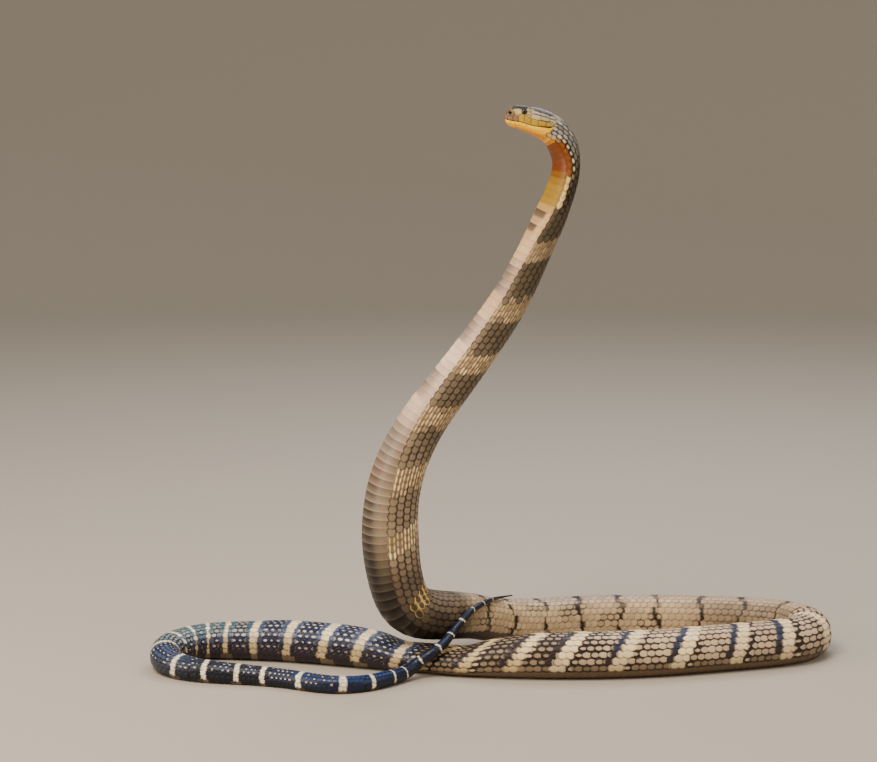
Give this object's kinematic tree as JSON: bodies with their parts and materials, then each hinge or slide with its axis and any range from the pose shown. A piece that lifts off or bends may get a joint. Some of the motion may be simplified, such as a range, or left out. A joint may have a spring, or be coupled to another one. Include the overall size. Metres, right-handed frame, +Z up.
{
  "type": "king cobra still model",
  "caption": "Life-size still model of a king cobra reared up with its mouth closed, the banded body lying on the floor in flat loops.",
  "frame": {"origin": "on the floor under the middle of the box round the whole snake", "axes": "+Z up, +X from the tail loop towards the large loop, +Y away from the viewer; the head looks towards -X"},
  "size_m": [0.9479, 0.3337, 0.7672],
  "materials": {
    "head_skin": "grey-brown head shields, satin",
    "throat_skin": "yellow to orange scales, satin",
    "body_skin": "tan and olive scales in pale bands, satin",
    "tail_skin": "blue-black scales in pale bands, satin",
    "eye": "dark and wet"
  },
  "bodies": {
    "root": {"head": "head_skin", "lower_jaw": "throat_skin", "eye_left": "eye", "eye_right": "eye", "neck": "throat_skin", "raised_body_upper": "body_skin", "raised_body_middle": "body_skin", "raised_body_lower": "body_skin", "body_base": "body_skin", "body_over_crossing": "body_skin", "rear_run_left": "body_skin", "rear_run_right": "body_skin", "right_bend_back": "body_skin", "right_bend_front": "body_skin", "front_run_right": "body_skin", "front_run_left": "body_skin", "body_under_base": "body_skin", "left_run_inner": "tail_skin", "left_run_outer": "tail_skin", "left_bend_back": "tail_skin", "left_bend_front": "tail_skin", "tail_base": "tail_skin", "tail_middle": "tail_skin", "tail_rise": "tail_skin", "tail_tip": "tail_skin"}
  },
  "joints": []
}
